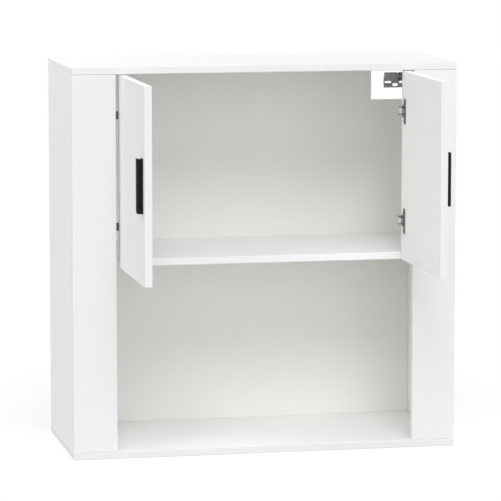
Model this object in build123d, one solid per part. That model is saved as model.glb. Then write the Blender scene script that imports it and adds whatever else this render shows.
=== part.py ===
"""Hanging wall cabinet with two inset doors above an open compartment.

Millimetres, +Z up. The origin is the middle of the wall face: mid-width, mid-height, on the plane
of the wall. The front faces -Y. The doors are drawn closed and then turned open, which is the
pose that the files hold. Left-hand pieces are drawn first and mirrored for the right.
"""
from build123d import *
from math import hypot
import os

# ---- carcass ----
cabinet_width = 800.0
cabinet_height = 800.0
cabinet_depth = 330.0        # wall plane to front plane
board = 15.0                 # laminated particle board
edge_round = 1.5             # rounding of the boards' banded edges
stile_width = 90.0           # fixed front panel beside each door
back_thickness = 3.0
back_inset = 1.5             # back panel short of the carcass edges
shelf_height = 407.5         # underside of the cabinet to the top of the shelf
door_swing_gap = 0.6         # door's hinge edge to the shelf's front, as it swings past
notch_width = 85.0           # corner cut-outs of the back panel, from the side panel's inner face
notch_height = 86.5          # and from the top board's underside

# ---- doors ----
door_gap = 2.5               # beside and between the closed doors
door_top_gap = 2.0
door_open_angle = 90.0
door_round = 0.8

# ---- cup hinges: one pin each, in the mouth of the cup ----
axis_across = 12.7           # hinge pin from the stile's edge
axis_depth = 5.5             # hinge pin behind the front plane
hinge_end_distance = 82.0    # hinge centre from the door's top or bottom edge
pin_radius = 1.1
pin_length = 17.2
running_gap = 0.05
cup_radius = 13.0
cup_wall = 1.0
cup_depth = 12.0
cup_floor = 0.5
cup_edge_distance = 18.5     # door's edge to the cup's centre
lug_reach = 2.8              # pin to the open side of the lugs that hold it
lug_gap = 10.0               # between the two lugs
rim_radius = 14.2
flange_thickness = 1.3
flange_width = 14.6
flange_length = 53.0
flange_offset = 7.5          # cup centre to flange centre, away from the door's edge
flange_screw_spacing = 38.0
arm_sheet = 2.2
arm_height = 16.0
arm_eye_height = 9.6         # where the arm passes between the lugs
arm_eye_wall = 0.7
arm_shoulder = 3.4           # cup's centre to where the arm has its full height
arm_reach = 16.8             # pin to the outside of the arm's neck
arm_rise = 14.7              # pin to the inside of the arm's back
arm_neck_round = 2.6
arm_back_round = 8.0
arm_length = 42.0            # on the stile, from its edge
arm_cheek = 3.0
arm_cheek_sheet = 1.2
plate_length = 35.0
plate_edge_distance = 6.0    # stile's edge to the mounting plate
plate_body_height = 12.6
plate_wing_length = 48.0
plate_wing_width = 12.0
plate_wing_thickness = 2.0
plate_screw_spacing = 32.0
arm_screw_spacing = 20.0

# ---- handles ----
handle_length = 107.0
handle_width = 20.0
handle_projection = 11.0
handle_edge_distance = 16.5  # door's free edge to the handle
handle_base = 2.5
handle_lip = 3.0
handle_wall = 3.5
handle_round = 0.8
handle_screw_spacing = 96.0
handle_boss_radius = 4.5
handle_screw_radius = 2.0
handle_head_radius = 3.5
handle_head_height = 2.4
screw_cap_thickness = 1.0

# ---- small screws ----
wood_screw_radius = 1.6
wood_screw_length = 11.0
machine_screw_radius = 1.9
screw_head_radius = 3.3
screw_head_height = 1.4
screw_drive_length = 3.8
screw_drive_width = 0.8
fit_gap = 0.05               # round a fixed pin, dowel or shank
past = 1.0                   # how far a cutter runs past the face that it opens

# ---- cabinet hangers ----
wall_plate_width = 51.0
wall_plate_height = 33.0
wall_plate_sheet = 2.0
wall_plate_top_gap = 28.5    # below the top board
wall_plate_side_gap = 6.0    # from the side panel
wall_plate_step = 3.5        # raised part clear of the wall
wall_plate_step_height = 10.0
wall_plate_step_inset = 0.3
wall_plate_round = 2.0
wall_slot_spacing = 32.0
wall_slot_length = 15.0
wall_slot_width = 4.4
wall_slot_below_top = 21.2
wall_hole_length = 12.2
wall_hole_width = 6.0
wall_hole_below_top = 26.9
housing_width = 11.5
housing_depth = 42.0
housing_height = 60.0
housing_sheet = 1.5
housing_wall_gap = 10.0      # wall plane to the housing
housing_top_gap = 6.0        # below the top board
housing_tab_length = 12.0
housing_tab_height = 38.0
housing_screw_spacing = 24.0
hook_sheet = 2.5
hook_height = 35.0
claw_width = 16.0
claw_offset = 5.0            # claw's inner edge from the wall plate's middle, towards the housing
claw_sheet = 1.8
claw_plate_gap = 0.7         # claw's leg in front of the plate's raised part
claw_lip_gap = 0.3           # claw's lip behind it
claw_seat_gap = 0.3          # claw over its notch in the wall plate's top edge
claw_side_gap = 1.0          # beside the claw in that notch
claw_lip_length = 6.0
claw_leg_length = 17.5
claw_finger_height = 6.5     # the leg ends in two fingers, one above the other
claw_finger_length = 12.0
claw_upper_setback = 1.8     # the upper finger is shorter
nut_size = 10.0
nut_width = 7.6
nut_front_gap = 4.0          # nut to the housing's front wall
screw_thread_gap = 0.1
height_screw_radius = 2.95
height_screw_head_radius = 4.6
height_screw_head_height = 4.0
height_screw_collar_radius = 3.8

# ---- cams, dowels and nails ----
cam_radius = 7.4
cam_length = 12.2
cam_distance = 24.0          # board's end to the cam's centre
cam_front_edge = 60.0        # cams from the side panel's front edge
cam_rear_edge = 95.0         # and from its rear edge, clear of the hangers
cam_rim = 1.5                # cam wall round the bolt's head
cam_drive_length = 8.0
cam_drive_width = 1.4
cam_drive_depth = 2.0
cam_cover_radius = 8.8
cam_cover_thickness = 0.8
bolt_radius = 3.0
bolt_anchor = 11.0
bolt_head_radius = 3.4
bolt_head_height = 5.0
bolt_neck_radius = 2.2
bolt_collar = 2.0            # thick part of the bolt beyond the bolted face
bolt_play = 0.4              # round the bolt inside the cam
dowel_radius = 4.0
dowel_length = 30.0
dowel_anchor = 10.0
dowel_pitch = 32.0           # from the cam beside it
stile_dowel_edge = 27.0      # from the stile's inner edge
stile_dowel_height = 300.0   # outer dowels above and below the middle
nail_radius = 0.8
nail_length = 16.0
nail_head_radius = 2.2
nail_head_height = 0.8
nail_pitch = 100.0
nail_end_distance = 33.0     # last nails from the inner faces of the boards

# ---- planes worked out from the sizes ----
half_width = cabinet_width / 2
half_height = cabinet_height / 2
front = -cabinet_depth
inner_side = half_width - board
inner_top = half_height - board
stile_edge = half_width - stile_width
stile_back = front + board
board_back = -back_thickness
shelf_top = shelf_height - half_height
shelf_under = shelf_top - board
door_top = inner_top - door_top_gap
door_bottom = shelf_under
door_width = (2 * stile_edge - 3 * door_gap) / 2
door_middle = (door_top + door_bottom) / 2
hinge_heights = {"lower": door_bottom + hinge_end_distance, "upper": door_top - hinge_end_distance}
axis_x = -stile_edge + axis_across
axis_y = front + axis_depth
door_edge = -stile_edge + door_gap
shelf_front = axis_y + hypot(axis_x - door_edge, stile_back - axis_y) + door_swing_gap
cup_x = door_edge + cup_edge_distance
flange_x = cup_x + flange_offset
cam_rows = (stile_back + cam_front_edge, board_back - cam_rear_edge)
arm_back_y = axis_y + arm_rise
handle_x = (door_edge + door_width - handle_edge_distance - handle_width,
            door_edge + door_width - handle_edge_distance)
handle_screw_end = front - handle_projection + handle_lip
handle_cap_seat = stile_back - screw_cap_thickness
handle_head_seat = handle_cap_seat - handle_head_height
housing_face = -inner_side + housing_width
housing_y = (-housing_wall_gap - housing_depth, -housing_wall_gap)
housing_top = inner_top - housing_top_gap
housing_bottom = housing_top - housing_height
wall_plate_top = inner_top - wall_plate_top_gap
wall_plate_middle = -inner_side + wall_plate_side_gap + wall_plate_width / 2
hook_seat = wall_plate_top - claw_sheet
height_screw_x = -inner_side + housing_width / 2
height_screw_y = housing_y[0] + housing_sheet + nut_front_gap + nut_size / 2
nut_middle = (housing_top + housing_bottom) / 2


# ---- small helpers ----
def block(x, y, z):
    """A box between two values on each axis."""
    size = [abs(b - a) for a, b in (x, y, z)]
    middle = [(a + b) / 2 for a, b in (x, y, z)]
    return Pos(*middle) * Box(*size)


def rounded_block(x, y, z, radius):
    solid = block(x, y, z)
    return fillet(solid.edges(), radius)


def rod(start, end, radius):
    """A cylinder from start to end, which differ along one axis."""
    a, b = Vector(*start), Vector(*end)
    plane = Plane(origin=a, z_dir=b - a)
    return plane * Cylinder(radius, (b - a).length, align=(Align.CENTER, Align.CENTER, Align.MIN))


def rod_y(x, z, start, end, radius):
    """A cylinder along the depth."""
    return rod((x, start, z), (x, end, z), radius)


def slot_cutter(x, z, length, width):
    """A horizontal rounded slot through the wall plate."""
    reach = wall_plate_step + 2 * wall_plate_sheet
    ends = (length - width) / 2
    cutter = block((x - ends, x + ends), (-reach, reach), (z - width / 2, z + width / 2))
    for side in (-ends, ends):
        cutter += rod_y(x + side, z, -reach, reach, width / 2)
    return cutter


def swing_open(shape):
    """Turn a closed left door piece to the open pose that the files hold."""
    return shape.rotate(Axis((axis_x, axis_y, 0), (0, 0, 1)), -door_open_angle)


def cross_recess(point, direction, length, width, depth):
    """Cross-slot for a screwdriver, sunk to a depth below a face whose normal is the direction."""
    plane = Plane(origin=Vector(*point), z_dir=Vector(*direction))
    return plane * (Box(length, width, 2 * depth) + Box(width, length, 2 * depth))


def screw_recess(point, direction):
    return cross_recess(point, direction, screw_drive_length, screw_drive_width, screw_head_height / 2)


def save(name, solids):
    """Write one node, a solid or a group of separate solids."""
    solids = solids if isinstance(solids, list) else [solids]
    pieces = [s for shape in solids for s in shape.solids()]
    export_step(pieces[0] if len(pieces) == 1 else Compound(children=pieces), f"parts/{name}.step")


def save_pair(name, solids):
    """Write the left piece, and its mirror image as the right one."""
    solids = solids if isinstance(solids, list) else [solids]
    save(f"left_{name}", solids)
    save(f"right_{name}", [mirror(s, about=Plane.YZ) for s in solids])


def both_sides(solids):
    return solids + [mirror(s, about=Plane.YZ) for s in solids]


# ---- holes and fasteners of the carcass: each place is listed once ----
def cam_joints():
    """Bolt root on the bolted face, direction of the bolt, direction in which the cam opens."""
    joints = []
    panel_middle = -half_width + board / 2
    shelf_middle = (shelf_top + shelf_under) / 2
    for y in cam_rows:
        joints.append(((panel_middle, y, inner_top), (0, 0, -1), (1, 0, 0)))
        joints.append(((panel_middle, y, -inner_top), (0, 0, 1), (1, 0, 0)))
        joints.append(((-inner_side, y, shelf_middle), (1, 0, 0), (0, 0, -1)))
    return joints


def dowel_joints():
    """Middle of the face that each dowel crosses, and its direction into the deeper hole."""
    panel_middle = -half_width + board / 2
    stile_middle_y = front + board / 2
    stile_middle_x = -stile_edge - stile_dowel_edge
    shelf_middle = (shelf_top + shelf_under) / 2
    inner_rows = (cam_rows[0] + dowel_pitch, cam_rows[1] - dowel_pitch)
    joints = []
    for y in inner_rows:
        joints.append(((panel_middle, y, inner_top), (0, 0, -1)))
        joints.append(((panel_middle, y, -inner_top), (0, 0, 1)))
    joints.append(((-inner_side, sum(inner_rows) / 2, shelf_middle), (1, 0, 0)))
    for z in (-stile_dowel_height, 0.0, stile_dowel_height):
        joints.append(((panel_middle, stile_back, z), (0, 1, 0)))
    joints.append(((stile_middle_x, stile_middle_y, inner_top), (0, 0, -1)))
    joints.append(((stile_middle_x, stile_middle_y, -inner_top), (0, 0, 1)))
    return joints


def along(point, direction, distance):
    return tuple(p + d * distance for p, d in zip(point, direction))


def cam_bolt(place, direction):
    anchor_end = along(place, direction, -bolt_anchor)
    head_start = along(place, direction, cam_distance - bolt_head_height / 2)
    head_end = along(place, direction, cam_distance + bolt_head_height / 2)
    return (rod(anchor_end, along(place, direction, bolt_collar), bolt_radius)
            + rod(place, head_start, bolt_neck_radius)
            + rod(head_start, head_end, bolt_head_radius))


def cam_bolt_holes(place, direction):
    anchor_end = along(place, direction, -bolt_anchor)
    return (rod(anchor_end, place, bolt_radius + fit_gap)
            + rod(place, along(place, direction, cam_distance), dowel_radius))


def cam_ends(place, direction, opening):
    centre = along(place, direction, cam_distance)
    face = along(centre, opening, board / 2)
    return along(face, opening, -cam_length), face


def cam_lock(place, direction, opening):
    back, face = cam_ends(place, direction, opening)
    cam = rod(back, face, cam_radius)
    centre = along(place, direction, cam_distance)
    throat = rod(along(centre, direction, -cam_radius - past), centre, bolt_neck_radius + bolt_play)
    reach = cam_radius - cam_rim
    seat_ends = (along(centre, direction, -reach), along(centre, direction, reach))
    cam -= throat + rod(*seat_ends, bolt_head_radius + bolt_play)
    return cam - cross_recess(face, opening, cam_drive_length, cam_drive_width, cam_drive_depth)


def cam_hole(place, direction, opening):
    back, face = cam_ends(place, direction, opening)
    return rod(along(back, opening, -fit_gap), along(face, opening, past), cam_radius + fit_gap)


def cam_cover(place, direction, opening):
    face = cam_ends(place, direction, opening)[1]
    return rod(face, along(face, opening, cam_cover_thickness), cam_cover_radius)


def dowel(place, direction, gap=0.0):
    start = along(place, direction, -dowel_anchor - gap)
    end = along(place, direction, dowel_length - dowel_anchor + gap)
    return rod(start, end, dowel_radius + gap)


def nail_places():
    """Left half and middle of the back panel: x and z of each nail."""
    panel_middle = -half_width + board / 2
    edge_middle = half_height - board / 2
    shelf_middle = (shelf_top + shelf_under) / 2
    places = []
    side_span = 2 * inner_top - notch_height - 2 * nail_end_distance
    for n in range(int(side_span // nail_pitch) + 1):
        places.append((panel_middle, -inner_top + nail_end_distance + n * nail_pitch))
    for n in range(int((inner_side - notch_width - nail_end_distance) // nail_pitch) + 1):
        across = -n * nail_pitch
        places.append((across, edge_middle))
        places.append((across, -edge_middle))
        places.append((across - nail_pitch / 2, shelf_middle))
    return places


def nail(x, z, gap=0.0):
    """A nail whose head is flush with the wall face, or with a gap, the hole for it."""
    shank = rod_y(x, z, -nail_head_height, -nail_length - gap, nail_radius + gap)
    return shank + rod_y(x, z, gap, -nail_head_height - gap, nail_head_radius + gap)


def carcass_cutters():
    """Every hole that the carcass fasteners need, on both sides."""
    cutters = []
    for place, direction, opening in cam_joints():
        cutters.append(cam_bolt_holes(place, direction))
        cutters.append(cam_hole(place, direction, opening))
    for place, direction in dowel_joints():
        cutters.append(dowel(place, direction, fit_gap))
    for x, z in nail_places():
        cutters.append(nail(x, z, fit_gap))
    return both_sides(cutters)


def drill(solid, cutters):
    """Cut only the holes that reach this board."""
    box = solid.bounding_box()
    near = []
    for cutter in cutters:
        other = cutter.bounding_box()
        apart = any(getattr(other.min, a) > getattr(box.max, a) or getattr(other.max, a) < getattr(box.min, a)
                    for a in ("X", "Y", "Z"))
        if not apart:
            near.append(cutter)
    return solid - near if near else solid


# ---- carcass boards ----
def banded_board(x, y, z):
    return rounded_block(x, y, z, edge_round)


def horizontal_board(low, high):
    return banded_board((-half_width, half_width), (front, board_back), (low, high))


def left_side_panel():
    return banded_board((-half_width, -inner_side), (stile_back, board_back), (-inner_top, inner_top))


def left_stile():
    return banded_board((-half_width, -stile_edge), (front, stile_back), (-inner_top, inner_top))


def shelf_board():
    return banded_board((-inner_side, inner_side), (shelf_front, board_back), (shelf_under, shelf_top))


def back_panel():
    half_x = half_width - back_inset
    half_z = half_height - back_inset
    panel = block((-half_x, half_x), (board_back, 0), (-half_z, half_z))
    for side in (-1, 1):
        notch_x = sorted((side * (inner_side - notch_width), side * (half_width + past)))
        panel -= block(notch_x, (board_back - past, past), (inner_top - notch_height, half_height + past))
    return panel


# ---- hinges, drawn at height zero with the left door closed ----
def pin_rod(length, radius):
    return rod((axis_x, axis_y, -length / 2), (axis_x, axis_y, length / 2), radius)


def hinge_pin():
    return pin_rod(pin_length, pin_radius)


def cup_cavity():
    floor_y = stile_back - cup_depth + cup_floor
    top_y = stile_back + flange_thickness + past
    cavity = rod_y(cup_x, 0, floor_y, top_y, cup_radius - cup_wall)
    for side in (-1, 1):
        lug_z = sorted((side * lug_gap / 2, side * cup_radius))
        cavity -= block((cup_x - cup_radius, axis_x + lug_reach), (floor_y, top_y), lug_z)
    return cavity


def flange_screw_places():
    return [(flange_x, side * flange_screw_spacing / 2) for side in (-1, 1)]


def hinge_cup():
    flange_top = stile_back + flange_thickness
    body = rod_y(cup_x, 0, stile_back - cup_depth, stile_back, cup_radius)
    rim = rod_y(cup_x, 0, stile_back, flange_top, rim_radius)
    strip = block((flange_x - flange_width / 2, flange_x + flange_width / 2), (stile_back, flange_top),
                  (-flange_length / 2, flange_length / 2))
    strip = fillet(strip.edges().filter_by(Axis.Y), flange_width / 4)
    cup = body + rim + strip - cup_cavity() - pin_rod(pin_length, pin_radius + running_gap / 2)
    for x, z in flange_screw_places():
        cup -= rod_y(x, z, stile_back - past, flange_top + past, wood_screw_radius + fit_gap)
    return cup


def flange_screws():
    seat = stile_back + flange_thickness
    return [wood_screw((x, seat, z), (0, -1, 0)) for x, z in flange_screw_places()]


def wood_screw(seat, direction, length=wood_screw_length):
    """A screw whose head stands on the seat and whose shank goes along the direction."""
    head_end = along(seat, direction, -screw_head_height)
    shank = rod(seat, along(seat, direction, length), wood_screw_radius)
    return shank + rod(seat, head_end, screw_head_radius) - screw_recess(head_end, direction)


def wood_screw_hole(seat, direction, length=wood_screw_length):
    return rod(seat, along(seat, direction, length + fit_gap), wood_screw_radius + fit_gap)


def arm_profile():
    """Gooseneck seen from above: from the pin along the cup's floor, out of it and back over the stile."""
    low = axis_y - pin_radius - arm_eye_wall
    neck = axis_x + arm_reach
    back = arm_back_y
    tail = -stile_edge - arm_length
    corners = [(axis_x, low), (neck, low), (neck, back + arm_sheet), (tail, back + arm_sheet), (tail, back),
               (neck - arm_sheet, back), (neck - arm_sheet, low + arm_sheet), (axis_x, low + arm_sheet)]
    face = make_face(Polyline(*corners, close=True))
    rounds = [((neck, low), arm_neck_round),
              ((neck - arm_sheet, low + arm_sheet), arm_neck_round - arm_sheet),
              ((neck, back + arm_sheet), arm_back_round),
              ((neck - arm_sheet, back), arm_back_round - arm_sheet)]
    for corner, radius in rounds:
        face = fillet(face.vertices().sort_by_distance(corner)[0], radius)
    return face


def hinge_arm():
    arm = Pos(0, 0, -arm_height / 2) * extrude(arm_profile(), arm_height, dir=(0, 0, 1))
    arm += pin_rod(arm_height, pin_radius + arm_eye_wall)
    for side in (-1, 1):
        z = sorted((side * arm_eye_height / 2, side * arm_height))
        arm -= block((axis_x - cup_radius, cup_x + arm_shoulder), (axis_y - cup_depth, axis_y + cup_depth), z)
        cheek_z = sorted((side * (arm_height / 2 - arm_cheek_sheet), side * arm_height / 2))
        arm += block((-stile_edge - arm_length, -stile_edge - plate_edge_distance),
                     (arm_back_y - arm_cheek, arm_back_y), cheek_z)
    arm -= pin_rod(2 * arm_height, pin_radius + running_gap)
    for x in arm_screw_places():
        arm -= rod_y(x, 0, arm_back_y - past, arm_back_y + arm_sheet + past, machine_screw_radius + fit_gap)
    return arm


def arm_screw_places():
    middle = -stile_edge - plate_edge_distance - plate_length / 2
    return [middle - arm_screw_spacing / 2, middle + arm_screw_spacing / 2]


def arm_screws():
    seat_y = arm_back_y + arm_sheet
    screws = []
    for x in arm_screw_places():
        shank = rod_y(x, 0, seat_y, stile_back + fit_gap, machine_screw_radius)
        head = rod_y(x, 0, seat_y, seat_y + screw_head_height, screw_head_radius)
        screws.append(shank + head - screw_recess((x, seat_y + screw_head_height, 0), (0, 1, 0)))
    return screws


def plate_screw_seats():
    x = -stile_edge - plate_edge_distance - plate_length / 2
    y = stile_back + plate_wing_thickness
    return [(x, y, side * plate_screw_spacing / 2) for side in (-1, 1)]


def mounting_plate():
    end = -stile_edge - plate_edge_distance
    middle = end - plate_length / 2
    wing_top = stile_back + plate_wing_thickness
    body = block((end - plate_length, end), (stile_back, arm_back_y),
                 (-plate_body_height / 2, plate_body_height / 2))
    wings = block((middle - plate_wing_width / 2, middle + plate_wing_width / 2), (stile_back, wing_top),
                  (-plate_wing_length / 2, plate_wing_length / 2))
    wings = fillet(wings.edges().filter_by(Axis.Y), plate_wing_width / 3)
    plate = body + wings
    for x, seat_y, z in plate_screw_seats():
        plate -= rod_y(x, z, stile_back - past, seat_y + past, wood_screw_radius + fit_gap)
    for x in arm_screw_places():
        plate -= rod_y(x, 0, stile_back - past, arm_back_y + past, machine_screw_radius + fit_gap)
    return plate


# ---- doors, drawn closed on the left ----
def handle_screw_places():
    low, high = handle_x
    return [((low + high) / 2, door_middle + side * handle_screw_spacing / 2) for side in (-1, 1)]


def left_door_closed():
    door_x = (door_edge, door_edge + door_width)
    door = rounded_block(door_x, (front, stile_back), (door_bottom, door_top), door_round)
    for z in hinge_heights.values():
        door -= rod_y(cup_x, z, stile_back - cup_depth - fit_gap, stile_back + past, cup_radius + fit_gap)
        for x, offset in flange_screw_places():
            reach = wood_screw_length - flange_thickness
            door -= wood_screw_hole((x, stile_back, z + offset), (0, -1, 0), reach)
    for x, z in handle_screw_places():
        door -= rod_y(x, z, front - past, stile_back, handle_screw_radius + fit_gap)
        door -= rod_y(x, z, handle_head_seat, stile_back + past, handle_head_radius + 2 * fit_gap)
    return door


def handle_closed():
    low, high = handle_x
    bottom, top = door_middle - handle_length / 2, door_middle + handle_length / 2
    outer = block((low, high), (front - handle_projection, front), (bottom, top))
    outer = fillet(outer.edges().group_by(Axis.Y)[0] + outer.edges().filter_by(Axis.Y), handle_round)
    groove_y = (front - handle_projection + handle_lip, front - handle_base)
    handle = outer - block((low - past, high - handle_wall), groove_y, (bottom - past, top + past))
    for x, z in handle_screw_places():
        handle += rod_y(x, z, groove_y[0] - fit_gap, groove_y[1] + fit_gap, handle_boss_radius)
    for x, z in handle_screw_places():
        handle -= rod_y(x, z, handle_screw_end - fit_gap, front + past, handle_screw_radius + fit_gap)
    return handle


def handle_screws():
    screws = []
    for x, z in handle_screw_places():
        shank = rod_y(x, z, handle_screw_end, handle_head_seat, handle_screw_radius)
        screws.append(shank + rod_y(x, z, handle_head_seat, handle_cap_seat, handle_head_radius))
    return screws


def handle_screw_caps():
    return [rod_y(x, z, handle_cap_seat, stile_back, handle_head_radius + fit_gap)
            for x, z in handle_screw_places()]


# ---- cabinet hangers, left ----
def housing_screw_seats():
    x = -inner_side + housing_sheet
    y = housing_y[0] - housing_tab_length / 2
    return [(x, y, nut_middle + side * housing_screw_spacing / 2) for side in (-1, 1)]


def hanger_housing():
    inner_front = housing_y[0] + housing_sheet
    shell = block((-inner_side, housing_face), housing_y, (housing_bottom, housing_top))
    shell = fillet(shell.edges().filter_by(Axis.Z).group_by(Axis.X)[-1], housing_sheet)
    shell -= block((-inner_side - past, housing_face - housing_sheet), (inner_front, housing_y[1] + past),
                   (housing_bottom + housing_sheet, housing_top - housing_sheet))
    tab_y = (housing_y[0] - housing_tab_length, inner_front)
    shell += block((-inner_side, -inner_side + housing_sheet), tab_y,
                   (nut_middle - housing_tab_height / 2, nut_middle + housing_tab_height / 2))
    for x, y, z in housing_screw_seats():
        shell -= rod((x + past, y, z), (-inner_side - past, y, z), wood_screw_radius + fit_gap)
    shell -= rod((height_screw_x, height_screw_y, housing_bottom - past),
                 (height_screw_x, height_screw_y, housing_bottom + housing_sheet + past),
                 height_screw_radius + screw_thread_gap)
    return shell


def claw_x_range():
    return wall_plate_middle - claw_width - claw_offset, wall_plate_middle - claw_offset


def hanger_hook():
    """Nut block, arm plate and claw in one bent and welded piece."""
    claw_x = claw_x_range()
    claw_low, claw_top = wall_plate_top - claw_leg_length, wall_plate_top
    leg_front = -wall_plate_step - wall_plate_sheet - claw_plate_gap - claw_sheet
    leg_y = (leg_front, leg_front + claw_sheet)
    lip_y = (-wall_plate_step + claw_lip_gap, -wall_plate_step + claw_lip_gap + claw_sheet)
    claw = block(claw_x, leg_y, (claw_low, claw_top))
    claw += block(claw_x, (leg_y[0], lip_y[1]), (hook_seat, claw_top))
    claw += block(claw_x, lip_y, (hook_seat - claw_lip_length, claw_top))
    gap_z = (claw_low + claw_finger_height, claw_top - claw_finger_height)
    claw -= block((claw_x[1] - claw_finger_length, claw_x[1] + past), leg_y, gap_z)
    claw -= block((claw_x[1] - claw_upper_setback, claw_x[1] + past), (leg_y[0] - past, lip_y[1] + past),
                  (gap_z[0], claw_top + past))
    plate_x = (height_screw_x - hook_sheet / 2, height_screw_x + hook_sheet / 2)
    nut_y = (height_screw_y - nut_size / 2, height_screw_y + nut_size / 2)
    plate = block(plate_x, (nut_y[1], leg_y[0]),
                  (nut_middle - hook_height / 2, nut_middle + hook_height / 2))
    link = block((plate_x[0], claw_x[1] - claw_finger_length), leg_y, (claw_low, nut_middle + hook_height / 2))
    nut = block((height_screw_x - nut_width / 2, height_screw_x + nut_width / 2), nut_y,
                (nut_middle - nut_size / 2, nut_middle + nut_size / 2))
    hook = claw + plate + link + nut
    return hook - rod((height_screw_x, height_screw_y, housing_bottom),
                      (height_screw_x, height_screw_y, housing_top), height_screw_radius + screw_thread_gap)


def wall_plate():
    low, high = wall_plate_top - wall_plate_height, wall_plate_top
    x = (wall_plate_middle - wall_plate_width / 2, wall_plate_middle + wall_plate_width / 2)
    step_low = high - wall_plate_step_height
    flat = block(x, (-wall_plate_sheet, 0), (low, step_low))
    flat = fillet(flat.edges().filter_by(Axis.Y).group_by(Axis.Z)[0], wall_plate_round)
    raised_x = (x[0] + wall_plate_step_inset, x[1] - wall_plate_step_inset)
    raised = block(raised_x, (-wall_plate_step - wall_plate_sheet, -wall_plate_step), (step_low, high))
    bend = block(raised_x, (-wall_plate_step - wall_plate_sheet, 0), (step_low - wall_plate_sheet, step_low))
    plate = flat + bend + raised
    notch_x = (claw_x_range()[0] - claw_side_gap, claw_x_range()[1] + claw_side_gap)
    plate -= block(notch_x, (-wall_plate_step - wall_plate_sheet - past, -wall_plate_step + past),
                   (hook_seat - claw_seat_gap, high + past))
    for side in (-1, 1):
        plate -= slot_cutter(wall_plate_middle + side * wall_slot_spacing / 2, high - wall_slot_below_top,
                             wall_slot_length, wall_slot_width)
    hole_z = high - wall_hole_below_top
    return plate - slot_cutter(wall_plate_middle, hole_z, wall_hole_length, wall_hole_width)


def height_screw():
    """Upright screw turned from below: its head and collar hold it in the housing's floor."""
    x, y = height_screw_x, height_screw_y
    head_top = housing_bottom - screw_thread_gap
    head_low = head_top - height_screw_head_height
    collar_low = housing_bottom + housing_sheet + screw_thread_gap
    screw = rod((x, y, head_low), (x, y, housing_top - 2 * housing_sheet), height_screw_radius)
    screw += rod((x, y, head_low), (x, y, head_top), height_screw_head_radius)
    screw += rod((x, y, collar_low), (x, y, collar_low + housing_sheet), height_screw_collar_radius)
    return screw - cross_recess((x, y, head_low), (0, 0, -1), height_screw_head_radius, cam_drive_width,
                                height_screw_head_height / 2)


# ---- build and write every node ----
os.makedirs("parts", exist_ok=True)

cutters = carcass_cutters()
housing_holes = both_sides([wood_screw_hole(seat, (-1, 0, 0)) for seat in housing_screw_seats()])
plate_holes = []
for hinge_z in hinge_heights.values():
    for plate_x, plate_y, plate_z in plate_screw_seats():
        seat_point = (plate_x, plate_y, hinge_z + plate_z)
        plate_holes.append(wood_screw_hole(seat_point, (0, -1, 0)))

save("top_board", drill(horizontal_board(inner_top, half_height), cutters))
save("bottom_board", drill(horizontal_board(-half_height, -inner_top), cutters))
save("shelf", drill(shelf_board(), cutters))
save("back_panel", drill(back_panel(), cutters))
save_pair("side_panel", drill(drill(left_side_panel(), cutters), housing_holes))
save_pair("stile", drill(drill(left_stile(), cutters), plate_holes))

for level, hinge_z in hinge_heights.items():
    lift = Pos(0, 0, hinge_z)
    save_pair(f"{level}_hinge_cup", swing_open(lift * hinge_cup()))
    save_pair(f"{level}_hinge_arm", lift * hinge_arm())
    save_pair(f"{level}_mounting_plate", lift * mounting_plate())

lifts = [Pos(0, 0, z) for z in hinge_heights.values()]
plate_screws = [wood_screw(seat, (0, -1, 0)) for seat in plate_screw_seats()]
save_pair("hinge_pins", [swing_open(lift * hinge_pin()) for lift in lifts])
save_pair("flange_screws", [swing_open(lift * s) for lift in lifts for s in flange_screws()])
save("arm_screws", both_sides([lift * s for lift in lifts for s in arm_screws()]))
save("plate_screws", both_sides([lift * s for lift in lifts for s in plate_screws]))

save_pair("door", swing_open(left_door_closed()))
save_pair("handle", swing_open(handle_closed()))
save_pair("handle_screws", [swing_open(s) for s in handle_screws()])
save_pair("handle_screw_caps", [swing_open(s) for s in handle_screw_caps()])

save_pair("hanger_housing", hanger_housing())
save_pair("hanger_hook", hanger_hook())
save_pair("wall_plate", wall_plate())
save_pair("height_screw", height_screw())
save("housing_screws", both_sides([wood_screw(seat, (-1, 0, 0)) for seat in housing_screw_seats()]))

save("cam_bolts", both_sides([cam_bolt(place, direction) for place, direction, _ in cam_joints()]))
save("cam_locks", both_sides([cam_lock(*joint) for joint in cam_joints()]))
save("cam_covers", both_sides([cam_cover(*joint) for joint in cam_joints()]))
save("dowels", both_sides([dowel(*joint) for joint in dowel_joints()]))
centre_nails = [nail(x, z) for x, z in nail_places() if x == 0]
side_nails = [nail(x, z) for x, z in nail_places() if x != 0]
save("back_panel_nails", centre_nails + both_sides(side_nails))
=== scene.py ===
"""Looks of a hanging wall cabinet: board finishes, hinges, fasteners, handles and wall hangers.

Metres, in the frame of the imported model: the wall is the plane y = 0 and the front faces -Y.
"""
import math

import bmesh
import bpy
from mathutils import Matrix, Vector


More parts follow.
